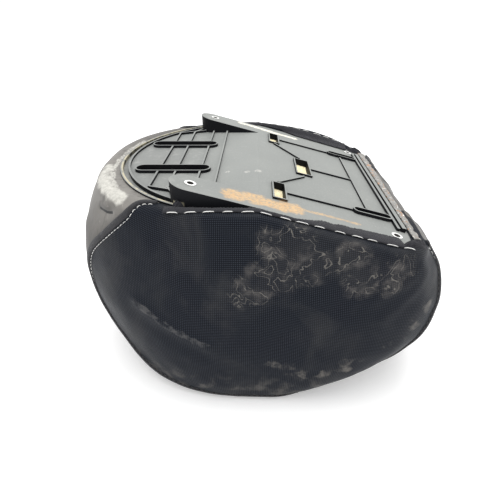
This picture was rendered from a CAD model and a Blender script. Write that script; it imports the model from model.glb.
"""A motorcycle seat lying upside down on its cushion, with its moulded pan facing up.

Shapes are worked out in the design frame of the part, in millimetres: the origin is on the pan's
bend line at mid-width, X points to the square tail and Z points up. to_row() puts them in the row frame.
"""

import math
import random

import bpy
import numpy as np
from mathutils import Matrix, Vector
from mathutils.bvhtree import BVHTree
from mathutils.noise import fractal, noise


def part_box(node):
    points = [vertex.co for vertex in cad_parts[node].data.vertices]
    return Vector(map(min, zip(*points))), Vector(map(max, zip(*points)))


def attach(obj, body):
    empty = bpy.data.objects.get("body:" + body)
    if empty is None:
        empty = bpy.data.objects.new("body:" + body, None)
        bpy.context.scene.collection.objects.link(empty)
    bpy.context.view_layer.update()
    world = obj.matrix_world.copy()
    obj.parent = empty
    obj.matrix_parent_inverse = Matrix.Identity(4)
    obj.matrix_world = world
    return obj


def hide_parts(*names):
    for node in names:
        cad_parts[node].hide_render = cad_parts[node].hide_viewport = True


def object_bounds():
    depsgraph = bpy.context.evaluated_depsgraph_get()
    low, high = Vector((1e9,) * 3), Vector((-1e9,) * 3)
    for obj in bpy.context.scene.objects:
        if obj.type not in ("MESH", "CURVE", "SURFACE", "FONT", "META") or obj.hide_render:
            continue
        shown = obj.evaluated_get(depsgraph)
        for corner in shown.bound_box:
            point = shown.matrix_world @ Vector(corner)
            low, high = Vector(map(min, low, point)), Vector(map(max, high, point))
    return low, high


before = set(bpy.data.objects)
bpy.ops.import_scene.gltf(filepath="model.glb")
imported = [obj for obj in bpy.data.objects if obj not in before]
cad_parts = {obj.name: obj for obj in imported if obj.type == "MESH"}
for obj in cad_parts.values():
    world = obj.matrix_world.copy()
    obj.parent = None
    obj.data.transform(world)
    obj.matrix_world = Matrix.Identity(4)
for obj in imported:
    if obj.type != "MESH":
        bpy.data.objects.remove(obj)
cad_low, cad_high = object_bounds()

MM = 0.001
SLOPE = math.radians(15)
PAN_RADIUS = 158
PAN_HALF = 146
PAN_TAIL = 148
PAN_SQUARE = 15
PLATFORM_END = 80

# The cushion's outline, level by level: height, nose reach, tail reach, half width, squareness of the tail.
LEVELS = (
    (8, 164, 150, 153, 8),
    (-8, 179, 153, 160, 8),
    (-30, 190, 157, 164, 8),
    (-48, 198, 165, 166, 7),
    (-75, 203, 188, 169, 5),
    (-110, 202, 199, 173, 4.2),
    (-150, 191, 189, 175, 4),
    (-185, 177, 148, 173, 4),
    (-205, 168, 94, 169, 4),
    (-217, 152, 50, 161, 4),
    (-222, 130, 20, 148, 4),
)
NOSE_POWER = 2.5
CREST_START = 5
CREST_RADIUS = 296
CREST_OVER_PAN = 1.2
CREST_RISE = 1.2
FIRST_REACH = 155
ROLL_DROP = 9
COVER_LAP = 2
COVER_LIFT = 0.3
FLOOR_LEVEL = LEVELS[-1][0]

# The grid that the cushion is made of: columns round it, rows over its edge and down its wall.
COLUMNS = 260
ROLL_ROWS = 8
WALL_ROWS = 64
BASE_RINGS = (0.88, 0.72, 0.54, 0.34, 0.12)

# The seam round each side panel, in side view: x and z.
SEAM = (
    (-94, 12), (-109, 2), (-143, -29), (-172, -60), (-183, -97), (-174, -140), (-147, -180),
    (-108, -205), (-60, -215), (0, -217), (57, -213), (105, -198), (145, -174), (170, -145),
    (183, -110), (182, -78), (173, -58), (164, -46), (157, -36), (152, -24),
)
SEAM_CLOSING = ((152, 60), (-94, 60))
SEAM_TOP_Y = 129
SEAM_TOP = ((-91, -130.5), (-98, -130), (-106, -129.5))
SEAM_BAND = 6.5
# The side panels lie further out than SEAM_APART, and above TOP_FROM further out than SEAM_TOP_Y.
SEAM_APART = 60
TOP_FROM = -3
# The seam's ridge, and the snapping of the covers' edges to the seam, stop at this height.
SEAM_BELOW = -4

HEM_Y = 151
HEM_THICK = 0.9
HEM_STEP = 1.3
HEM_TOOTH = 3.1
HEM_START = -82
HEM_END = 132
# Where the raw edge of the hem runs in plan: x and its distance from the middle.
HEM_RAW = (
    (-82, 141), (-59, 141), (-38, 141.5), (-4, 141.5), (8, 145), (35, 145), (55, 137), (96, 134),
    (132, 132),
)

pan_low, pan_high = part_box("seat_pan")
ORIGIN = Vector((
    pan_low.x + PAN_RADIUS * MM,
    (pan_low.y + pan_high.y) / 2,
    pan_high.z - PLATFORM_END * math.tan(SLOPE) * MM,
))
dice = random.Random(7)


def to_row(points):
    """Design millimetres as row-frame metres."""
    return np.asarray(points, float) * MM + np.array(ORIGIN)


# ---------------------------------------------------------------- curves and surfaces

def smooth_rows(table, t):
    """Catmull-Rom values of the rows of a table at the fractional row numbers t."""
    table = np.asarray(table, float)
    t = np.asarray(t, float)
    ends = np.vstack([2 * table[0] - table[1], table, 2 * table[-1] - table[-2]])
    i = np.clip(np.floor(t).astype(int), 0, len(table) - 2)
    f = (t - i)[..., None]
    a, b, c, d = (ends[i + k] for k in range(4))
    return 0.5 * (2 * b + (c - a) * f + (2 * a - 5 * b + 4 * c - d) * f**2 + (3 * b - 3 * c + d - a) * f**3)


def smooth_line(points, step):
    """Points about step apart on the smooth line through the given ones."""
    points = np.asarray(points, float)
    dense = smooth_rows(points, np.linspace(0, len(points) - 1, 40 * len(points)))
    run = np.concatenate([[0], np.cumsum(np.linalg.norm(np.diff(dense, axis=0), axis=1))])
    count = max(2, round(run[-1] / step) + 1)
    at = np.linspace(0, run[-1], count)
    return np.column_stack([np.interp(at, run, dense[:, k]) for k in range(dense.shape[1])])


def smoothstep(low, high, value):
    f = np.clip((value - low) / (high - low), 0, 1)
    return f * f * (3 - 2 * f)


def pan_level(x):
    """Height of the pan's floor: flat in the nose, sloping down to the tail."""
    return np.where(x < 0, 0, -x * math.tan(SLOPE))


def crest_level(x, y):
    """Height of the cushion's edge: proud of the pan on the right, pulled flat on the left."""
    pan = pan_level(x) + CREST_OVER_PAN
    bow = np.sqrt(np.maximum(CREST_RADIUS**2 - (x - CREST_START) ** 2, 0)) - CREST_RADIUS
    arc = np.where(x < CREST_START, 0, bow)
    proud = smoothstep(-110, 60, y) + smoothstep(130, 150, x) * smoothstep(60, -110, y)
    return np.where(x < CREST_START, pan, pan + np.clip(proud, 0, 1) * np.maximum(arc - pan, 0))


LEVEL_STEPS = np.linspace(0, len(LEVELS) - 1, 500)
LEVEL_HEIGHTS = smooth_rows(LEVELS, LEVEL_STEPS)[:, 0]


def level_at(height):
    """Fractional row of LEVELS at a height."""
    return np.interp(-height, -LEVEL_HEIGHTS, LEVEL_STEPS)


def superellipse(theta, along, half, power):
    return (np.abs(np.cos(theta) / along) ** power + np.abs(np.sin(theta) / half) ** power) ** (-1 / power)


def reach(theta, level):
    """Distance from the middle to the cushion's surface, at an angle and a fractional level."""
    _, nose, tail, half, square = np.moveaxis(smooth_rows(LEVELS, level), -1, 0)
    nose_side = np.cos(theta) < 0
    along = np.where(nose_side, nose, tail)
    return superellipse(theta, along, half, np.where(nose_side, NOSE_POWER, square))


def pan_reach(theta):
    """Distance from the middle to the pan's edge at an angle."""
    nose = np.minimum(PAN_RADIUS, PAN_HALF / np.maximum(np.abs(np.sin(theta)), 1e-6))
    tail = superellipse(theta, PAN_TAIL, PAN_HALF, PAN_SQUARE)
    return np.where(np.cos(theta) < 0, nose, tail)


def bezier(a, b, c, d, t):
    return a * (1 - t) ** 3 + 3 * b * t * (1 - t) ** 2 + 3 * c * t**2 * (1 - t) + d * t**3


def column_grid(columns, inset=0.0):
    """The cushion's surface as rows of points: the pan's edge, the crest, the wall, then the bottom."""
    theta = np.arange(columns) * 2 * math.pi / columns
    out = np.full(columns, float(FIRST_REACH))
    for _ in range(4):
        top = crest_level(out * np.cos(theta), out * np.sin(theta))
        out = reach(theta, level_at(top))
    start = level_at(top - ROLL_DROP)
    wall = reach(theta, start)
    edge = pan_reach(theta) - COVER_LAP
    edge_height = pan_level(edge * np.cos(theta)) + COVER_LIFT
    radii, heights = [], []
    for t in np.linspace(0, 1, ROLL_ROWS + 1)[:-1]:
        radii.append(bezier(edge, edge + 0.45 * (wall - edge), wall - 1.5, wall, t))
        heights.append(bezier(edge_height, top + CREST_RISE, top + CREST_RISE, top - ROLL_DROP, t))
    for t in np.linspace(0, 1, WALL_ROWS):
        level = start + (len(LEVELS) - 1 - start) * t
        radii.append(reach(theta, level))
        heights.append(smooth_rows(LEVELS, level)[:, 0])
    for shrink in BASE_RINGS:
        radii.append(radii[ROLL_ROWS + WALL_ROWS - 1] * shrink)
        heights.append(heights[ROLL_ROWS + WALL_ROWS - 1])
    radii, heights = np.array(radii) - inset, np.array(heights)
    heights = heights + inset * (heights < FLOOR_LEVEL + 22)
    return np.stack([radii * np.cos(theta), radii * np.sin(theta), heights], axis=-1)


def grid_normals(grid):
    """Outward unit normals of a grid whose columns close into a ring."""
    around = np.roll(grid, -1, axis=1) - np.roll(grid, 1, axis=1)
    down = np.gradient(grid, axis=0)
    normals = np.cross(down, around)
    return normals / np.maximum(np.linalg.norm(normals, axis=-1, keepdims=True), 1e-9)


def line_distance(points, line):
    """Distance from each point to a line given by close points."""
    flat = points.reshape(-1, 3)
    best = np.full(len(flat), 1e9)
    for p in line:
        best = np.minimum(best, np.linalg.norm(flat - p, axis=1))
    return best.reshape(points.shape[:-1])


CREASE = ((-156, -104, -17), (-150, -111, -16), (-144, -117, -15), (-136, -124, -12))
CREASE_LIP = ((-155, -101, -12), (-149, -108, -11), (-142, -115, -10))
LOW_CREASE = ((-121, -150, -96), (-89, -165, -115), (-50, -174, -135))

# Folds and dents of the covers: points on the line, half width and height.
FOLDS = (
    (((-164, 26, 0), (-168, -14, 0), (-160, -60, 0), (-138, -106, 0), (-118, -122, 0)), 4, 0.8),
    (CREASE, 2.6, -2.2),
    (CREASE_LIP, 3.2, 1.3),
    (LOW_CREASE, 5.5, 2.2),
    (((-124, -150, -112), (-92, -165, -130), (-54, -174, -150)), 8, -1.2),
    (((150, -152, -50), (132, -163, -66), (104, -168, -80)), 7, 1.8),
    (((156, -150, -60), (140, -163, -82), (118, -170, -104)), 6, 1.4),
    (((140, -158, -52), (118, -166, -64), (92, -167, -70)), 6, -1.2),
    (((-100, -150, -30), (-60, -163, -44), (-20, -166, -52)), 8, 1.0),
    (((-60, -160, -12), (20, -162, -22), (90, -165, -40)), 5, -0.9),
    (((150, 152, -50), (132, 163, -66), (104, 168, -80)), 7, 1.6),
    (((-114, 168, -82), (-88, 172, -112), (-51, 174, -141)), 9, 1.8),
    (((-196, -40, -60), (-200, 0, -66), (-196, 44, -58)), 10, 1.6),
    (((-188, -70, -36), (-194, -20, -38), (-193, 34, -34)), 7, -1.2),
    (((-190, -60, -120), (-196, 0, -132), (-188, 60, -124)), 12, -1.6),
    (((160, -90, -60), (172, -30, -66), (168, 50, -62)), 9, 1.8),
    (((162, -100, -48), (164, -20, -50), (163, 90, -47)), 5, -1.6),
    (((196, -80, -100), (199, 0, -106), (196, 80, -100)), 14, -1.6),
)
SEAM_RIDGE = 2.6
SEAM_RIDGE_WIDE = 9
UNEVENNESS = 1.5


def seam_line(step):
    """The seam in side view, as close points."""
    return smooth_line(SEAM, step)


def surface_tree(grid):
    """The grid's surface, for finding where lines meet it."""
    rows, columns = grid.shape[:2]
    faces = ring_faces(rows, columns) + lid_faces((rows - 1) * columns, columns, turned=True)
    return BVHTree.FromPolygons([tuple(p) for p in grid.reshape(-1, 3)], faces)


def laid_on(tree, line):
    """A line's points moved to the nearest places on a surface."""
    return np.array([tuple(tree.find_nearest(Vector(p))[0]) for p in line])


def wrinkle(grid):
    """The grid with its folds, its raised seams and the unevenness of a stuffed cover."""
    normals = grid_normals(grid)
    lift = np.zeros(grid.shape[:2])
    plain = surface_tree(grid)
    for line, width, height in FOLDS:
        distance = line_distance(grid, laid_on(plain, smooth_line(line, 2)))
        lift += height * np.exp(-((distance / width) ** 2))
    flat = grid[..., [0, 2]]
    gap = np.full(grid.shape[:2], 1e9)
    for p in seam_line(3):
        gap = np.minimum(gap, np.linalg.norm(flat - p, axis=-1))
    beside = (np.abs(grid[..., 1]) > SEAM_APART) & (grid[..., 2] < SEAM_BELOW)
    lift += SEAM_RIDGE * np.exp(-((gap / SEAM_RIDGE_WIDE) ** 2)) * beside
    uneven = np.array([[fractal(Vector(p) / 55, 1.0, 2.0, 3) for p in line] for line in grid])
    height = grid[..., 2]
    below_edge = smoothstep(2, -20, height - pan_level(grid[..., 0]))
    off_floor = smoothstep(FLOOR_LEVEL + 1, FLOOR_LEVEL + 17, height)
    lift += UNEVENNESS * uneven * (below_edge * off_floor)
    return grid + normals * (lift * smoothstep(FLOOR_LEVEL, FLOOR_LEVEL + 10, height))[..., None]


def ring_faces(rows, columns):
    """Quads between neighbouring rows of a grid whose columns close into rings."""
    faces = []
    for i in range(rows - 1):
        for j in range(columns):
            k = (j + 1) % columns
            faces.append((i * columns + j, (i + 1) * columns + j, (i + 1) * columns + k, i * columns + k))
    return faces


def lid_faces(first, columns, turned=False):
    """Strips across a ring of points, which close it without a point where many edges meet."""
    faces = [(first, first + 1, first + columns - 1)]
    for j in range(1, columns // 2 - 1):
        faces.append((first + j, first + j + 1, first + columns - j - 1, first + columns - j))
    faces.append((first + columns // 2 - 1, first + columns // 2, first + columns // 2 + 1))
    return [face[::-1] for face in faces] if turned else faces


def sheet_faces(rows, columns):
    """Quads of an open grid of points."""
    faces = []
    for i in range(rows - 1):
        for j in range(columns - 1):
            k = i * columns + j
            faces.append((k, k + 1, k + columns + 1, k + columns))
    return faces


def inside_outline(points, outline):
    """Which 2D points lie inside a closed outline."""
    x, z = points[:, 0], points[:, 1]
    inside = np.zeros(len(points), bool)
    for (x0, z0), (x1, z1) in zip(outline, np.roll(outline, -1, axis=0)):
        crosses = (z0 > z) != (z1 > z)
        rise = np.where(z1 == z0, 1e-9, z1 - z0)
        inside ^= crosses & (x < (x1 - x0) * (z - z0) / rise + x0)
    return inside


# ---------------------------------------------------------------- pieces

def make_piece(name, points, faces, slot, material, replaces=(), smooth=True):
    """A mesh object in the row frame from points in design millimetres, riding on the seat."""
    mesh = bpy.data.meshes.new(name)
    mesh.from_pydata([tuple(p) for p in to_row(points)], [], faces)
    mesh.validate()
    mesh.polygons.foreach_set("use_smooth", [smooth] * len(mesh.polygons))
    mesh.materials.append(material)
    piece = bpy.data.objects.new(name, mesh)
    bpy.context.scene.collection.objects.link(piece)
    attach(piece, "root")
    if replaces:
        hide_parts(*replaces)
    return piece


def subdivide(piece, levels=1):
    modifier = piece.modifiers.new("subdivision", "SUBSURF")
    modifier.levels = levels
    modifier.render_levels = levels


def thicken(piece, thickness):
    """Gives a sheet thickness in millimetres, inwards from its face."""
    modifier = piece.modifiers.new("thickness", "SOLIDIFY")
    modifier.thickness = thickness * MM
    modifier.offset = -1


def sweep(path, ups, profile, scales=None):
    """Points and faces of a closed profile, given across and up in millimetres, carried along a path."""
    path, ups = np.asarray(path, float), np.asarray(ups, float)
    ahead = np.gradient(path, axis=0)
    ahead /= np.maximum(np.linalg.norm(ahead, axis=1, keepdims=True), 1e-9)
    across = np.cross(ahead, ups)
    across /= np.maximum(np.linalg.norm(across, axis=1, keepdims=True), 1e-9)
    ups = np.cross(across, ahead)
    scales = np.ones(len(path)) if scales is None else np.asarray(scales)
    side = len(profile)
    points = [
        path[i] + scales[i] * (a * across[i] + u * ups[i])
        for i in range(len(path)) for a, u in profile
    ]
    faces = [
        (i * side + j, i * side + (j + 1) % side, (i + 1) * side + (j + 1) % side, (i + 1) * side + j)
        for i in range(len(path) - 1) for j in range(side)
    ]
    faces += [tuple(range(side))[::-1], tuple(range((len(path) - 1) * side, len(path) * side))]
    return points, faces


def joined(shapes):
    """Several (points, faces) shapes as one."""
    points, faces = [], []
    for more, polygons in shapes:
        faces += [tuple(i + len(points) for i in polygon) for polygon in polygons]
        points += [tuple(p) for p in more]
    return points, faces


def round_profile(radius, sides=8):
    return [
        (radius * math.cos(2 * math.pi * k / sides), radius * math.sin(2 * math.pi * k / sides))
        for k in range(sides)
    ]


def arch_profile(width, height, depth=1.0, steps=6):
    """A low arch, flat underneath."""
    top = [
        (-width / 2 * math.cos(math.pi * k / steps), height * math.sin(math.pi * k / steps))
        for k in range(steps + 1)
    ]
    return [(width / 2, -depth), (-width / 2, -depth)] + top


def stitch(line, ups, radius, sink=0.8):
    """A stitch that comes up through the cover at one end of the line and goes down at the other."""
    count = len(line)
    rise = np.array([max(0, math.sin(math.pi * k / (count - 1))) ** 0.3 for k in range(count)])
    path = np.asarray(line) + np.asarray(ups) * ((rise - 1) * sink + radius * 0.6)[:, None]
    return sweep(path, ups, round_profile(radius, 6), 0.55 + 0.45 * rise)


grid = wrinkle(column_grid(COLUMNS))
ROWS = len(grid)
skin_points = grid.reshape(-1, 3)
skin_faces = ring_faces(ROWS, COLUMNS) + lid_faces((ROWS - 1) * COLUMNS, COLUMNS, turned=True)
skin = surface_tree(grid)


# ---------------------------------------------------------------- materials

class Finish:
    """A node material whose point output is in design millimetres."""

    def __init__(self, name, **settings):
        self.material = bpy.data.materials.new(name)
        self.material.use_nodes = True
        self.tree = self.material.node_tree
        self.shader = self.tree.nodes["Principled BSDF"]
        for socket, value in settings.items():
            self.shader.inputs[socket.replace("_", " ")].default_value = value
        self.noises = {}
        coordinates = self.add("ShaderNodeTexCoord").outputs["Object"]
        moved = self.vector("SUBTRACT", coordinates, tuple(ORIGIN))
        self.point = self.vector("SCALE", moved, scale=1 / MM)
        self.x, self.y, self.z = self.split(self.point)

    def add(self, kind, inputs=None, **settings):
        node = self.tree.nodes.new(kind)
        for name, value in settings.items():
            setattr(node, name, value)
        for name, value in (inputs or {}).items():
            self.plug(node.inputs[name], value)
        return node

    def plug(self, socket, value):
        if isinstance(value, bpy.types.NodeSocket):
            self.tree.links.new(value, socket)
        elif value is not None:
            socket.default_value = value

    def vector(self, operation, a, b=None, scale=None):
        node = self.add("ShaderNodeVectorMath", {0: a, 1: b}, operation=operation)
        if scale is not None:
            self.plug(node.inputs["Scale"], scale)
        is_number = operation in ("LENGTH", "DISTANCE", "DOT_PRODUCT")
        return node.outputs["Value" if is_number else "Vector"]

    def split(self, vector):
        return self.add("ShaderNodeSeparateXYZ", {0: vector}).outputs[:]

    def math(self, operation, a, b=0.0):
        return self.add("ShaderNodeMath", {0: a, 1: b}, operation=operation).outputs[0]

    def times(self, a, b):
        return self.math("MULTIPLY", a, b)

    def step(self, value, low, high, start=0.0, end=1.0):
        """A smooth step from start to end as value goes from low to high."""
        inputs = {"Value": value, "From Min": low, "From Max": high, "To Min": start, "To Max": end}
        return self.add("ShaderNodeMapRange", inputs, interpolation_type="SMOOTHSTEP").outputs[0]

    def noise(self, size, detail=4.0, roughness=0.55, distortion=0.0, stretch=(1, 1, 1)):
        """Noise with spots about size millimetres across."""
        key = (size, detail, roughness, distortion, stretch)
        if key not in self.noises:
            place = self.vector("MULTIPLY", self.point, stretch) if stretch != (1, 1, 1) else self.point
            inputs = {"Vector": place, "Scale": 1 / size, "Detail": detail}
            inputs.update({"Roughness": roughness, "Distortion": distortion})
            self.noises[key] = self.add("ShaderNodeTexNoise", inputs).outputs["Fac"]
        return self.noises[key]

    def mix(self, factor, a, b):
        node = self.add("ShaderNodeMix", {"Factor": factor}, data_type="RGBA")
        self.plug(node.inputs[6], (*a, 1) if isinstance(a, tuple) else a)
        self.plug(node.inputs[7], (*b, 1) if isinstance(b, tuple) else b)
        return node.outputs[2]

    def upward(self):
        """How far the surface faces up, from -1 to 1."""
        normal = self.add("ShaderNodeNewGeometry").outputs["Normal"]
        return self.split(normal)[2]

    def near(self, a, b, width, ragged=0.0, size=8.0):
        """1 near the line from a to b, falling to 0 at width millimetres from it."""
        ab = Vector(b) - Vector(a)
        offset = self.vector("SUBTRACT", self.point, tuple(a))
        along = self.math("DIVIDE", self.vector("DOT_PRODUCT", offset, tuple(ab)), ab.dot(ab))
        along = self.math("MINIMUM", self.math("MAXIMUM", along, 0), 1)
        foot = self.vector("SCALE", tuple(ab), scale=along)
        distance = self.vector("DISTANCE", offset, foot)
        if ragged:
            wobble = self.math("SUBTRACT", self.noise(size, detail=3), 0.5)
            distance = self.math("ADD", distance, self.times(wobble, ragged))
        return self.step(distance, width, width * 0.45)

    def any(self, masks):
        """The largest of several masks at each point."""
        total = masks[0]
        for mask in masks[1:]:
            total = self.math("MAXIMUM", total, mask)
        return total

    def near_route(self, points, width, ragged=0.0, size=8.0):
        """As near, for a line through several points."""
        return self.any([self.near(a, b, width, ragged, size) for a, b in zip(points, points[1:])])

    def bump(self, height, distance, strength=1.0, after=None):
        """A bump of the given height field; distance is in millimetres."""
        inputs = {"Height": height, "Distance": distance * MM, "Strength": strength, "Normal": after}
        return self.add("ShaderNodeBump", inputs).outputs[0]

    def finish(self, colour, roughness=None, normal=None, metallic=None):
        self.plug(self.shader.inputs["Base Color"], colour)
        self.plug(self.shader.inputs["Roughness"], roughness)
        self.plug(self.shader.inputs["Metallic"], metallic)
        self.plug(self.shader.inputs["Normal"], normal)
        return self.material


# Where the pan is marked, in plan and height; the spots also have a radius.
RUST_SMEAR = ((-24, -124, 6), (-2, -121, 0), (18, -123, -5), (33, -120, -9))
RUST_TRAIL = ((28, -119, -8), (62, -119, -17), (96, -120, -26))
WORN_RAIL = ((-26, 131, 7), (-4, 130, 1), (20, 126, -5), (52, 124, -14))
DUST_SPOTS = (((-1, -46, 0), 5), ((-13, -50, 0), 4), ((-34, -50, 0), 3), ((-21, -90, 3), 3))
RIM_RADIUS = 154.4


def pan_dust(f, cloud, fine):
    """Colour of the grey dust on the pan: brushed thin in the nose, and darker there."""
    dust = f.mix(cloud, (0.19, 0.2, 0.193), (0.285, 0.293, 0.28))
    dust = f.mix(f.step(fine, 0.5, 0.75, 0, 0.3), dust, (0.38, 0.38, 0.36))
    streaks = f.step(f.noise(16, detail=6, roughness=0.7), 0.5, 0.68, 0, 0.4)
    dust = f.mix(f.times(f.step(f.x, -30, -90), streaks), dust, (0.42, 0.42, 0.4))
    return f.mix(f.step(f.x, -30, -120, 0, 0.3), dust, (0.12, 0.12, 0.12))


def rim_line(f):
    """Mask of the pale line along the top of the pan's outer bead, with gaps."""
    radius = f.vector("LENGTH", f.vector("MULTIPLY", f.point, (1, 1, 0)))
    on_rim = f.step(f.math("ABSOLUTE", f.math("SUBTRACT", radius, RIM_RADIUS)), 1.3, 0.7)
    on_rim = f.times(on_rim, f.times(f.step(f.z, 6, 4), f.step(f.x, -60, -70)))
    return f.times(on_rim, f.step(f.noise(13, detail=5, roughness=0.7), 0.4, 0.56, 0.12, 0.85))


def pan_finish():
    """Black moulded plastic, dusty where it faces up, with rust on one rail and the other worn pale."""
    f = Finish("pan_plastic", Specular_IOR_Level=0.1)
    faces_up = f.step(f.upward(), 0.72, 0.94)
    cloud = f.noise(46, detail=5)
    fine = f.noise(2.4, detail=6, roughness=0.7)
    colour = f.mix(faces_up, (0.006, 0.0065, 0.008), pan_dust(f, cloud, fine))
    colour = f.mix(rim_line(f), colour, (0.46, 0.42, 0.3))
    scratches = f.step(f.noise(1.3, detail=2, stretch=(0.05, 1, 1)), 0.68, 0.74, 0, 0.35)
    colour = f.mix(f.times(scratches, faces_up), colour, (0.5, 0.5, 0.48))
    spots = f.any([f.near(p, (p[0] + 2, p[1] + 1, p[2]), r * 0.8, ragged=6, size=3) for p, r in DUST_SPOTS])
    colour = f.mix(f.times(spots, f.step(fine, 0.35, 0.6, 0, 0.5)), colour, (0.6, 0.58, 0.54))
    smear = f.near_route(RUST_SMEAR, 13, ragged=22, size=9)
    smear = f.times(smear, f.step(fine, 0.32, 0.58, 0.2, 0.92))
    trail = f.near_route(RUST_TRAIL, 3.2, ragged=5, size=6)
    trail = f.times(trail, f.step(fine, 0.35, 0.65, 0.1, 0.8))
    rust = f.mix(f.noise(5), (0.5, 0.28, 0.12), (0.62, 0.47, 0.28))
    colour = f.mix(f.any([smear, trail]), colour, rust)
    worn = f.times(f.near_route(WORN_RAIL, 6, ragged=7, size=7), f.step(fine, 0.3, 0.5))
    colour = f.mix(worn, colour, (0.75, 0.72, 0.62))
    return f.finish(colour, f.step(cloud, 0.3, 0.7, 0.42, 0.6), f.bump(fine, 0.25, 0.5))


def insert_finish():
    """Worn zinc: bright on the rim, dark down the bore."""
    f = Finish("insert_metal")
    across = f.math("LESS_THAN", f.math("ABSOLUTE", f.upward()), 0.6)
    colour = f.mix(f.noise(2), (0.72, 0.72, 0.7), (0.9, 0.9, 0.88))
    colour = f.mix(across, colour, (0.1, 0.095, 0.09))
    return f.finish(colour, f.noise(1.5), None, 0.35)


# Where splashes have dried on the left panel: middle and radius.
STAIN_AREAS = (
    ((15, -162, -24), 17), ((32, -162, -20), 17), ((44, -165, -40), 20), ((20, -166, -52), 20),
    ((4, -168, -68), 13), ((-13, -168, -70), 15), ((-9, -166, -52), 9),
    ((82, -165, -36), 16), ((93, -166, -60), 16), ((127, -162, -55), 18),
)
STAIN_SPREAD = 1.35
STAIN_RIMS = (0.45, 0.56)
DUSTY_EDGE = ((172, -148, -92), (158, -154, -116), (134, -165, -140))
LOW_SMEAR = ((20, -168, -160), (60, -168, -172), (100, -168, -158))
MESH_PITCH = 1.9


def stained(f, colour):
    """The colour with dried splashes on it: a thin film, and paler crooked rims."""
    swirl = f.noise(22, detail=3.2, roughness=0.45, distortion=0.5)
    rims = f.any([
        f.step(f.math("ABSOLUTE", f.math("SUBTRACT", swirl, level)), 0.009, 0.002) for level in STAIN_RIMS
    ])
    areas = f.any([
        f.near(p, (p[0] + 1, p[1], p[2]), r * STAIN_SPREAD, ragged=20, size=14) for p, r in STAIN_AREAS
    ])
    broken = f.step(f.noise(9), 0.36, 0.52, 0.15, 1)
    rims = f.times(f.times(rims, areas), broken)
    colour = f.mix(f.times(rims, 0.36), colour, (0.3, 0.28, 0.245))
    film = f.times(areas, f.step(f.noise(17, detail=4), 0.44, 0.72, 0.03, 0.3))
    return f.mix(film, colour, (0.24, 0.22, 0.2))


def rubbed_dusty(f, colour):
    """The colour with dust along the low crease, round the tail's edge and near the floor."""
    creased = f.near_route(laid_on(skin, smooth_line(LOW_CREASE, 20)), 4.5, ragged=12, size=7)
    creased = f.times(creased, f.step(f.noise(9), 0.35, 0.65, 0, 0.24))
    colour = f.mix(creased, colour, (0.2, 0.195, 0.19))
    edge = f.near_route(DUSTY_EDGE, 13, ragged=14, size=14)
    smear = f.near_route(LOW_SMEAR, 12, ragged=22, size=14)
    low = f.any([f.step(f.z, -165, -205, 0, 0.6), f.any([edge, smear])])
    low = f.times(low, f.step(f.noise(17, detail=4), 0.46, 0.7, 0, 0.5))
    return f.mix(low, colour, (0.2, 0.185, 0.165))


def mesh_finish():
    """Black vinyl embossed with a fine mesh, with dusty patches and dried splashes."""
    f = Finish("mesh_vinyl", Roughness=0.5, Specular_IOR_Level=0.06)
    weave = f.add("ShaderNodeUVMap", uv_map="weave").outputs[0]
    u, v, _ = f.split(weave)
    waves = [f.math("SINE", f.times(along, math.pi / MESH_PITCH)) for along in (u, v)]
    cells = f.math("POWER", f.times(*waves), 2)
    colour = f.mix(f.step(cells, 0.12, 0.6), (0.004, 0.005, 0.008), (0.023, 0.027, 0.036))
    dust = f.step(f.noise(60, detail=5, distortion=0.6), 0.45, 0.8, 0.0, 0.17)
    colour = f.mix(dust, colour, (0.12, 0.115, 0.105))
    colour = rubbed_dusty(f, stained(f, colour))
    normal = f.bump(cells, 0.25, 0.6, f.bump(f.noise(9), 0.5, 0.4))
    return f.finish(colour, f.step(dust, 0, 0.3, 0.42, 0.62), normal)


# Where the nose's edge is scuffed, and where its corner is rubbed pale.
CREST_SCUFF = (
    (-150, 60, 1), (-158, 23, 1), (-160, -14, 1), (-157, -46, 1), (-149, -76, 1), (-130, -112, 1),
)
PALE_CORNER = ((-165, -34, -3), (-163, -60, -3), (-155, -82, -2), (-142, -103, -1), (-128, -119, 0))


def smooth_finish():
    """Black satin vinyl gone grey with dust where it faces up, and scuffed pale along the nose's edge."""
    f = Finish("smooth_vinyl", Specular_IOR_Level=0.16)
    grain = f.add("ShaderNodeTexVoronoi", {"Vector": f.point, "Scale": 0.9}).outputs["Distance"]
    cloud = f.noise(38, detail=5, distortion=0.4)
    fine = f.noise(3, detail=5, roughness=0.7)
    rubbed = f.noise(11, detail=5, roughness=0.65, stretch=(1, 1, 0.4))
    dusty = f.times(f.step(f.upward(), -0.5, 0.9), f.step(cloud, 0.25, 0.7, 0.6, 1))
    colour = f.mix(dusty, (0.03, 0.028, 0.026), (0.2, 0.19, 0.175))
    cleaner = f.any([f.step(f.z, -6, -56, 0, 0.72), f.step(f.y, -10, 90, 0, 0.5)])
    colour = f.mix(cleaner, colour, (0.045, 0.041, 0.038))
    colour = f.mix(f.step(rubbed, 0.5, 0.68, 0, 0.5), colour, (0.06, 0.057, 0.053))
    scuffs = f.near_route(CREST_SCUFF, 3.4, ragged=5, size=9)
    scuffs = f.times(scuffs, f.step(fine, 0.4, 0.56, 0, 0.6))
    pale = f.near_route(PALE_CORNER, 9.5, ragged=16, size=13)
    pale = f.times(pale, f.step(fine, 0.25, 0.7, 0.38, 0.8))
    colour = f.mix(f.any([scuffs, pale]), colour, (0.6, 0.59, 0.54))
    crease = f.near_route(laid_on(skin, CREASE), 1.7, ragged=1, size=4)
    colour = f.mix(crease, colour, (0.012, 0.012, 0.013))
    marks = f.step(f.noise(5, detail=3, stretch=(1, 0.25, 1)), 0.66, 0.74, 0, 0.22)
    colour = f.mix(marks, colour, (0.42, 0.4, 0.37))
    normal = f.bump(grain, 0.12, 0.5, f.bump(cloud, 1.2, 0.5))
    return f.finish(colour, f.step(cloud, 0.3, 0.7, 0.36, 0.52), normal)


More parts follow.
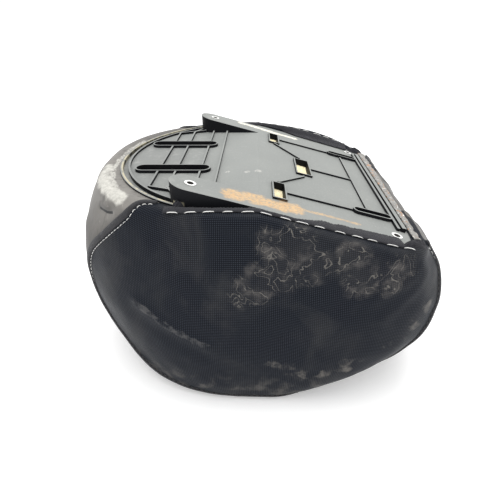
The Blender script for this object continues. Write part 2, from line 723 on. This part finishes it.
def dark_cloth_finish(name, base, light, weave_size, roughness=0.85):
    """Dark cloth: a fine weave, fuzz and uneven fading."""
    f = Finish(name, Specular_IOR_Level=0.2, Sheen_Weight=0.08, Sheen_Roughness=0.5)
    turns = 2 * math.pi / weave_size
    waves = [f.math("SINE", f.times(along, turns)) for along in (f.x, f.math("ADD", f.y, f.z))]
    threads = f.times(*waves)
    fuzz = f.noise(1.2, detail=5, roughness=0.8)
    colour = f.mix(f.math("ADD", f.times(threads, 0.25), fuzz), base, light)
    faded = tuple(min(1, 2.2 * c) for c in light)
    colour = f.mix(f.step(f.noise(11), 0.56, 0.75, 0, 0.4), colour, faded)
    return f.finish(colour, roughness, f.bump(f.math("ADD", threads, fuzz), 0.3, 0.7))


THREAD_TWIST = 0.9


def thread_finish():
    """Off-white thread with a twist, soiled nearly black round the tail and low down."""
    f = Finish("thread", Roughness=0.7, Specular_IOR_Level=0.2)
    along = f.math("ADD", f.x, f.math("ADD", f.y, f.z))
    twist = f.math("SINE", f.times(along, 2 * math.pi / THREAD_TWIST))
    colour = f.mix(f.noise(8), (0.55, 0.54, 0.52), (0.9, 0.9, 0.88))
    at_tail = f.times(f.step(f.x, 0, 100), f.step(f.z, -52, -64))
    soiled = f.times(f.any([at_tail, f.step(f.z, -88, -112)]), 0.93)
    colour = f.mix(soiled, colour, (0.03, 0.03, 0.03))
    return f.finish(colour, None, f.bump(twist, 0.15, 0.6))


def foam_finish():
    """Yellowed open-cell foam."""
    f = Finish("foam", Roughness=0.95)
    pores = f.add("ShaderNodeTexVoronoi", {"Vector": f.point, "Scale": 0.7}).outputs["Distance"]
    colour = f.mix(f.noise(9, detail=4), (0.9, 0.74, 0.42), (1.0, 0.93, 0.66))
    colour = f.mix(f.step(pores, 0.1, 0.35, 0.5, 0), colour, (0.4, 0.27, 0.12))
    return f.finish(colour, None, f.bump(pores, 0.8, 0.8))


def staple_finish():
    """Steel wire, mostly rusted."""
    f = Finish("staple_wire")
    rusty = f.step(f.noise(9, detail=3), 0.42, 0.56)
    colour = f.mix(rusty, (0.72, 0.71, 0.68), (0.36, 0.16, 0.06))
    roughness = f.step(rusty, 0, 1, 0.35, 0.85)
    metallic = f.step(rusty, 0, 1, 0.8, 0.0)
    return f.finish(colour, roughness, f.bump(f.noise(0.8), 0.2, 0.6), metallic)


def flange_finish():
    """Grey worn vinyl over the pan's tail edge, flecked with white and rust."""
    f = Finish("flange_vinyl", Roughness=0.6)
    fine = f.noise(2.2, detail=5, roughness=0.75)
    colour = f.mix(f.noise(14, detail=4), (0.12, 0.117, 0.11), (0.3, 0.29, 0.27))
    colour = f.mix(f.step(fine, 0.55, 0.66, 0, 0.8), colour, (0.82, 0.8, 0.75))
    rust = f.times(f.step(f.noise(6, detail=4), 0.58, 0.66), f.step(fine, 0.4, 0.5))
    colour = f.mix(rust, colour, (0.42, 0.2, 0.08))
    return f.finish(colour, None, f.bump(fine, 0.5, 0.7))


pan_plastic = pan_finish()
insert_metal = insert_finish()
mesh_vinyl = mesh_finish()
smooth_vinyl = smooth_finish()
welt_vinyl = dark_cloth_finish("welt_vinyl", (0.008, 0.008, 0.01), (0.03, 0.03, 0.034), 1.4, 0.6)
hem_fabric = dark_cloth_finish("hem_fabric", (0.01, 0.01, 0.013), (0.035, 0.035, 0.041), 1.1)
thread = thread_finish()
foam = foam_finish()
staple_wire = staple_finish()
flange_vinyl = flange_finish()


# ---------------------------------------------------------------- the cushion and its covers

HANDS = ((-1, "left"), (1, "right"))
# Rays towards the cushion start this far to the side or above.
ASIDE = 400
ABOVE = 200
MID_HEIGHT = -100
SNAP_REACH = 7
SEAM_LINE = seam_line(2)
SIDE_OUTLINE = np.vstack([SEAM_LINE, SEAM_CLOSING])


def side_hit(x, z, side):
    """Where a line along Y meets the cushion from the left (-1) or the right (1), and the normal there."""
    spot, normal, _, _ = skin.ray_cast(Vector((x, side * ASIDE, z)), Vector((0, -side, 0)))
    return (spot, normal if normal.y * side > 0 else -normal) if spot else None


def top_hit(x, y):
    """The cushion's highest point at a place in plan and its normal, or None if only the base is there."""
    spot, normal, _, _ = skin.ray_cast(Vector((x, y, ABOVE)), Vector((0, 0, -1)))
    if spot is None or spot.z < MID_HEIGHT:
        return None
    return spot, normal if normal.z > 0 else -normal


def rest_height(x, y):
    """Height of what a hem lies on: the cover, or the pan's floor inside it."""
    hit = top_hit(x, y)
    pan = float(pan_level(x)) + 0.4
    return max(hit[0].z, pan) if hit else pan


def face_sides():
    """For each face of the skin: -1 on the left side panel, 1 on the right one, 0 on the centre cover."""
    centres = np.array([skin_points[list(face)].mean(axis=0) for face in skin_faces])
    apart = np.abs(centres[:, 1]) > np.where(centres[:, 2] > TOP_FROM, SEAM_TOP_Y, SEAM_APART)
    inside = inside_outline(centres[:, [0, 2]], SIDE_OUTLINE)
    return np.where(apart & inside, np.sign(centres[:, 1]), 0).astype(int)


def snapped_to_seam(points, faces, sides):
    """The skin's points, with those between two covers moved onto the seam."""
    touching = {}
    for face, side in zip(faces, sides):
        for i in face:
            touching.setdefault(i, set()).add(side)
    moved = np.array(points)
    for i in (i for i, found in touching.items() if len(found) > 1):
        x, y, z = points[i]
        nearest = SEAM_LINE[np.argmin(np.linalg.norm(SEAM_LINE - (x, z), axis=1))]
        hit = side_hit(*nearest, -1 if y < 0 else 1)
        if hit and z < SEAM_BELOW and (hit[0] - Vector((x, y, z))).length < SNAP_REACH:
            moved[i] = hit[0]
    return moved


def weave_places():
    """Lengths around and down the skin for each of its points, in millimetres, for the mesh pattern."""
    girth = grid[ROLL_ROWS + WALL_ROWS // 3]
    around = np.concatenate([[0], np.cumsum(np.linalg.norm(np.diff(girth, axis=0), axis=1))])
    down = np.vstack([np.zeros(COLUMNS), np.cumsum(np.linalg.norm(np.diff(grid, axis=0), axis=2), axis=0)])
    return np.stack([np.broadcast_to(around, down.shape), down], axis=-1).reshape(-1, 2)


def make_cover(name, side, sides, points, places, slot, material, node):
    """One cover: the faces of the skin on its side of the seams."""
    faces = [face for face, found in zip(skin_faces, sides) if found == side]
    used = sorted({i for face in faces for i in face})
    new = {old: k for k, old in enumerate(used)}
    faces = [tuple(new[i] for i in face) for face in faces]
    piece = make_piece(name, points[used], faces, slot, material, (node,))
    layer = piece.data.uv_layers.new(name="weave")
    for loop in piece.data.loops:
        layer.data[loop.index].uv = places[used[loop.vertex_index]]
    subdivide(piece)
    return piece


def make_covers():
    sides = face_sides()
    points = snapped_to_seam(skin_points, skin_faces, sides)
    places = weave_places()
    make_cover("cover_center_vinyl", 0, sides, points, places, "smooth_vinyl", smooth_vinyl, "cover_center")
    for side, hand in HANDS:
        node = f"cover_side_{hand}"
        make_cover(f"{node}_mesh", side, sides, points, places, "mesh_vinyl", mesh_vinyl, node)


FOAM_COLUMNS = 96
FOAM_SHRINK = 5
FOAM_DEEP = 30
FOAM_WINDOW = 5.5
FOAM_RIM = 6
FOAM_RINGS = 34
FOAM_ROUGH = 0.9


def foam_top(x, y):
    """Height of the foam under the pan: close below the windows, sunk under the slots."""
    close = smoothstep(-44, -34, x) * smoothstep(76, 66, x)
    depth = FOAM_DEEP + (FOAM_WINDOW - FOAM_DEEP) * close
    return float(pan_level(x)) - depth + FOAM_ROUGH * noise(Vector((x, y, 0)) / 6)


def make_foam():
    """The moulded foam block, a little smaller than its covers."""
    walls = column_grid(FOAM_COLUMNS, FOAM_SHRINK)[ROLL_ROWS + 2::2]
    theta = np.arange(FOAM_COLUMNS) * 2 * math.pi / FOAM_COLUMNS
    rim = pan_reach(theta) - FOAM_RIM
    top = []
    for shrink in np.linspace(0.03, 1, FOAM_RINGS):
        x, y = rim * shrink * np.cos(theta), rim * shrink * np.sin(theta)
        top.append(np.stack([x, y, [foam_top(a, b) for a, b in zip(x, y)]], axis=-1))
    rows = np.concatenate([top, walls])
    faces = ring_faces(len(rows), FOAM_COLUMNS) + lid_faces(0, FOAM_COLUMNS)
    faces += lid_faces((len(rows) - 1) * FOAM_COLUMNS, FOAM_COLUMNS, turned=True)
    piece = make_piece("foam_block", rows.reshape(-1, 3), faces, "foam", foam, ("foam_cushion",))


# ---------------------------------------------------------------- seams

def seam_route(side):
    """Points and normals of a side seam on the cushion: over the edge at the nose, then round the side."""
    hits = [top_hit(x, side * -y) for x, y in SEAM_TOP]
    hits += [side_hit(x, z, side) for x, z in seam_line(5) if z < -2]
    hits = [hit for hit in hits if hit]
    path = smooth_line([tuple(spot) for spot, _ in hits[::2]], 2.5)
    route = []
    for p in path:
        spot, normal, _, _ = skin.find_nearest(Vector(p))
        outward = Vector((p[0] * 0.3, p[1], p[2] + 110))
        route.append((spot, normal if normal.dot(outward) > 0 else -normal))
    points = np.array([tuple(spot) for spot, _ in route])
    normals = np.array([tuple(normal) for _, normal in route])
    for _ in range(3):
        normals[1:-1] = (normals[:-2] + normals[1:-1] + normals[2:]) / 3
        points[1:-1] = (points[:-2] + 2 * points[1:-1] + points[2:]) / 4
    return points, normals / np.linalg.norm(normals, axis=1, keepdims=True)


def shifted(points, normals, distance):
    """A route moved sideways over the surface."""
    ahead = np.gradient(points, axis=0)
    across = np.cross(ahead, normals)
    across /= np.linalg.norm(across, axis=1, keepdims=True)
    moved = []
    for p in points + distance * across:
        moved.append(tuple(skin.find_nearest(Vector(p))[0]))
    return np.array(moved)


STITCH_PITCH = 5.6
STITCH_LENGTH = 4
STITCH_RADIUS = 0.33
STITCH_ASIDE = 1.8
BAND_HIGH = 1.5


def stitch_row(points, normals, pitch, length, radius):
    """Stitches along a route."""
    run = np.concatenate([[0], np.cumsum(np.linalg.norm(np.diff(points, axis=0), axis=1))])
    shapes = []
    for start in np.arange(pitch / 2, run[-1] - length, pitch):
        at = np.linspace(start, start + length, 6)
        line = np.column_stack([np.interp(at, run, points[:, k]) for k in range(3)])
        ups = np.column_stack([np.interp(at, run, normals[:, k]) for k in range(3)])
        shapes.append(stitch(line, ups, radius))
    return joined(shapes)


def make_seam(side, hand):
    """A dark welt over the side seam, and the thread beside it on the panel."""
    points, normals = seam_route(side)
    band = sweep(points + normals * 0.5, normals, arch_profile(SEAM_BAND, BAND_HIGH))
    make_piece(f"seam_band_{hand}", *band, "welt_vinyl", welt_vinyl, (f"seam_welt_{hand}",))
    beside = shifted(points, normals, side * (SEAM_BAND / 2 + STITCH_ASIDE))
    row = stitch_row(beside + normals * 0.45, normals, STITCH_PITCH, STITCH_LENGTH, STITCH_RADIUS)
    make_piece(f"seam_stitches_{hand}", *row, "thread", thread)


# ---------------------------------------------------------------- hems

def make_hem(side, hand):
    """The side panel's raw edge, turned over onto the pan: frayed at its inner edge."""
    xs = np.arange(HEM_START, HEM_END, HEM_STEP)
    raw = np.interp(xs, [x for x, _ in HEM_RAW], [y for _, y in HEM_RAW])
    across = np.linspace(0, 1, 8)
    points = []
    for x, inner in zip(xs, raw):
        tooth = 3.2 * abs((x / HEM_TOOTH) % 1 - 0.5) - 0.8
        tooth = tooth + 1.2 * noise(Vector((x / 2.3, side * 4, 0)))
        wave = 0.8 * noise(Vector((x / 9, 3 * side, 1)))
        for t in across:
            y = HEM_Y + (inner + tooth - HEM_Y) * t
            puff = 1.5 * math.sin(math.pi * min(1, t * 1.15)) + wave * t
            points.append((x, side * y, rest_height(x, side * y) + 0.35 + puff))
    faces = sheet_faces(len(xs), len(across))
    if side > 0:
        faces = [face[::-1] for face in faces]
    piece = make_piece(f"hem_{hand}", points, faces, "hem_fabric", hem_fabric, (f"hem_strip_{hand}",))
    thicken(piece, HEM_THICK)


HEM_STITCHES_FROM = -78
HEM_STITCHES_TO = 136
HEM_PITCH = 16
HEM_DASH = 10.5
HEM_DASH_POINTS = 7
HEM_THREAD_RADIUS = 0.42


def make_hem_stitches(side, hand):
    """Long white tacking stitches along the fold of the hem, none quite like the next."""
    shapes = []
    for start in np.arange(HEM_STITCHES_FROM, HEM_STITCHES_TO, HEM_PITCH):
        begin = start + dice.uniform(-1.6, 1.6)
        length = HEM_DASH + dice.uniform(-1.5, 1.5)
        drift = dice.uniform(-0.6, 0.6)
        xs = np.linspace(begin, begin + length, HEM_DASH_POINTS)
        line = []
        for t, x in zip(np.linspace(0, 1, HEM_DASH_POINTS), xs):
            y = side * (HEM_Y + 0.4 + drift * (t - 0.5))
            line.append((x, y, rest_height(x, y) + 1.3))
        ups = np.tile((0, side * 0.35, 0.94), (HEM_DASH_POINTS, 1))
        shapes.append(stitch(np.array(line), ups, HEM_THREAD_RADIUS, sink=0.9))
    make_piece(f"hem_stitches_{hand}", *joined(shapes), "thread", thread, (f"hem_thread_{hand}",))


# ---------------------------------------------------------------- the tail edge

FLANGE_IN = 152.5
FLANGE_OUT = 163
FLANGE_HALF = 128
FLANGE_STEP = 1.6
FLANGE_THICK = 1.3


def tail_place(s, y, up):
    """Design point at a distance down the pan's slope, a place across and a height off the slope."""
    return (s * math.cos(SLOPE) + up * math.sin(SLOPE), y, up * math.cos(SLOPE) - s * math.sin(SLOPE))


def make_flange():
    """The cover's torn edge, wrapped over the pan's tail and stapled down."""
    ys = np.arange(-FLANGE_HALF, FLANGE_HALF + 0.1, FLANGE_STEP)
    across = np.linspace(0, 1, 8)
    points = []
    for y in ys:
        inner = FLANGE_IN + 1.4 * noise(Vector((y / 4, 0, 5))) + 0.8 * noise(Vector((y / 1.7, 2, 5)))
        slant = 5 * smoothstep(-60, FLANGE_HALF, y)
        notch = 3.0 * smoothstep(0.18, 0.5, noise(Vector((y / 13, 7, 1))))
        outer = FLANGE_OUT + slant - notch + 0.8 * noise(Vector((y / 3, 9, 5)))
        for t in across:
            ripple = 0.7 * noise(Vector((y / 7, t * 2, 3)))
            up = 1.5 + 1.2 * math.sin(math.pi * t) - 4.2 * t**3 + ripple
            points.append(tail_place(inner + (outer - inner) * t, y, up))
    faces = [(a, d, c, b) for a, b, c, d in sheet_faces(len(ys), len(across))]
    piece = make_piece("tail_flange", points, faces, "smooth_vinyl", flange_vinyl)
    thicken(piece, FLANGE_THICK)


STAPLE_COUNT = 11
STAPLE_PITCH = 19
STAPLE_WIDTH = 11
STAPLE_LINE = 156.5
STAPLE_RADIUS = 0.55
# A staple from leg to leg: places as parts of its width, and heights.
STAPLE_SHAPE = ((-0.5, -1.5), (-0.49, 2.4), (-0.42, 3.2), (0.42, 3.2), (0.49, 2.4), (0.5, -1.5))


def make_staples():
    """Rusted staples along the tail edge, each driven at its own angle."""
    shapes = []
    for k in range(STAPLE_COUNT):
        middle = (k - (STAPLE_COUNT - 1) / 2) * STAPLE_PITCH + dice.uniform(-2, 2)
        turn = dice.uniform(-0.35, 0.35)
        s = STAPLE_LINE + dice.uniform(-1, 1)
        path = []
        for t, up in STAPLE_SHAPE:
            aside = t * STAPLE_WIDTH
            path.append(tail_place(s + aside * math.sin(turn), middle + aside * math.cos(turn), up))
        ups = np.tile((1.0, 0.0, 0.2), (len(path), 1))
        shapes.append(sweep(path, ups, round_profile(STAPLE_RADIUS, 6)))
    make_piece("tail_staples", *joined(shapes), "staple_wire", staple_wire, ("staples_tail",))


def crumple(name, centre, size, turn, height, slot, material, seed):
    """A bunched fold of cover: a low lump with sharp ridges."""
    columns, rows = 40, 14
    points = []
    for i in range(rows):
        out = math.sin(0.5 * math.pi * (i + 0.3) / (rows - 0.7))
        for j in range(columns):
            a = 2 * math.pi * j / columns
            x, y = out * math.cos(a), out * math.sin(a)
            ridge = 1 - abs(noise(Vector((x * 1.6 + seed, y * 3.4, seed)))) * 2.4
            z = height * ((1 - out**3) * (0.45 + 0.55 * ridge)) - 1.2 * out**4
            rim = 1 + 0.16 * noise(Vector((math.cos(a) * 2, math.sin(a) * 2, seed)))
            points.append((x * size[0] * rim, y * size[1] * rim, z))
    placed = [tuple(Matrix.Rotation(turn, 3, "Z") @ Vector(p)) for p in points]
    lifted = []
    for x, y, z in placed:
        px, py = centre[0] + x, centre[1] + y
        lifted.append((px, py, rest_height(px, py) + centre[2] + z))
    faces = lid_faces(0, columns) + ring_faces(rows, columns)
    piece = make_piece(name, lifted, faces, slot, material)
    subdivide(piece)


# ---------------------------------------------------------------- camera, light and floor

CAMERA_PLACE = (0, -458.6, 152.9)
CAMERA_DOWN = 31.54
CAMERA_YAW = -1.34
CAMERA_ROLL = -0.47
CAMERA_LENS = 28.8
FLOOR_HALF = 6
FLOOR_GAP = 0.0004
FLOOR_GLOW = 0.16
WORLD_STRENGTH = 1.08


def make_camera():
    """The camera, from its place in design millimetres and its angles in degrees."""
    down, yaw, roll = (math.radians(a) for a in (CAMERA_DOWN, CAMERA_YAW, CAMERA_ROLL))
    forward = Vector((math.sin(yaw) * math.cos(down), math.cos(yaw) * math.cos(down), -math.sin(down)))
    right = Vector((math.cos(yaw), -math.sin(yaw), 0))
    up = right.cross(forward)
    turned_right = right * math.cos(roll) + up * math.sin(roll)
    turned_up = up * math.cos(roll) - right * math.sin(roll)
    data = bpy.data.cameras.new("camera")
    data.lens = CAMERA_LENS
    camera = bpy.data.objects.new("camera", data)
    axes = Matrix((turned_right, turned_up, -forward)).transposed().to_4x4()
    camera.matrix_world = Matrix.Translation(to_row(CAMERA_PLACE)) @ axes
    bpy.context.scene.collection.objects.link(camera)
    bpy.context.scene.camera = camera


def make_light(name, place, size, power, target=(0, 0, 0.1)):
    """A square area light that points at the seat."""
    data = bpy.data.lights.new(name, "AREA")
    data.size = size
    data.energy = power
    light = bpy.data.objects.new(name, data)
    light.location = place
    light.rotation_euler = (Vector(target) - Vector(place)).to_track_quat("-Z", "Y").to_euler()
    bpy.context.scene.collection.objects.link(light)


def make_sky_light(strength, spread):
    """A broad light from straight above, even over the whole floor."""
    data = bpy.data.lights.new("sky", "SUN")
    data.energy = strength
    data.angle = math.radians(spread)
    bpy.context.scene.collection.objects.link(bpy.data.objects.new("sky", data))


def make_floor():
    height = cad_low.z - FLOOR_GAP
    corners = [(x, y, height) for x, y in ((-1, -1), (1, -1), (1, 1), (-1, 1))]
    mesh = bpy.data.meshes.new("floor")
    mesh.from_pydata([(FLOOR_HALF * x, FLOOR_HALF * y, z) for x, y, z in corners], [], [(0, 1, 2, 3)])
    f = Finish("floor_paper", Roughness=0.9, Emission_Color=(1, 1, 1, 1), Emission_Strength=FLOOR_GLOW)
    mesh.materials.append(f.finish(f.mix(f.noise(300), (0.9, 0.9, 0.9), (0.92, 0.92, 0.92))))
    floor = bpy.data.objects.new("floor", mesh)
    bpy.context.scene.collection.objects.link(floor)


def make_world():
    world = bpy.data.worlds.new("studio")
    world.use_nodes = True
    background = world.node_tree.nodes["Background"]
    background.inputs["Color"].default_value = (1, 1, 1, 1)
    background.inputs["Strength"].default_value = WORLD_STRENGTH
    bpy.context.scene.world = world


for node, material in (("seat_pan", pan_plastic), ("bolt_inserts", insert_metal)):
    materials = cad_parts[node].data.materials
    materials.clear()
    materials.append(material)

make_covers()
make_foam()
for side, hand in HANDS:
    make_seam(side, hand)
    make_hem(side, hand)
    make_hem_stitches(side, hand)
make_flange()
make_staples()
crumple("corner_fold_left", (146, -139, 0.4), (13, 6), 0.3, 5, "mesh_vinyl", hem_fabric, 3.1)
crumple("corner_fold_right", (144, 137, 0.4), (12, 7), -0.5, 5, "mesh_vinyl", hem_fabric, 8.4)
crumple("seam_tuck_left", (-70, -138, 0.2), (7, 4.5), 0.7, 8, "mesh_vinyl", hem_fabric, 5.7)

make_camera()
make_floor()
make_world()
make_light("overhead", place=(0.1, 0.3, 1.5), size=1.0, power=9)
make_light("front", place=(-0.8, -1.4, 0.9), size=1.0, power=5)
make_sky_light(strength=0.9, spread=50)
bpy.context.scene.view_settings.view_transform = "Standard"
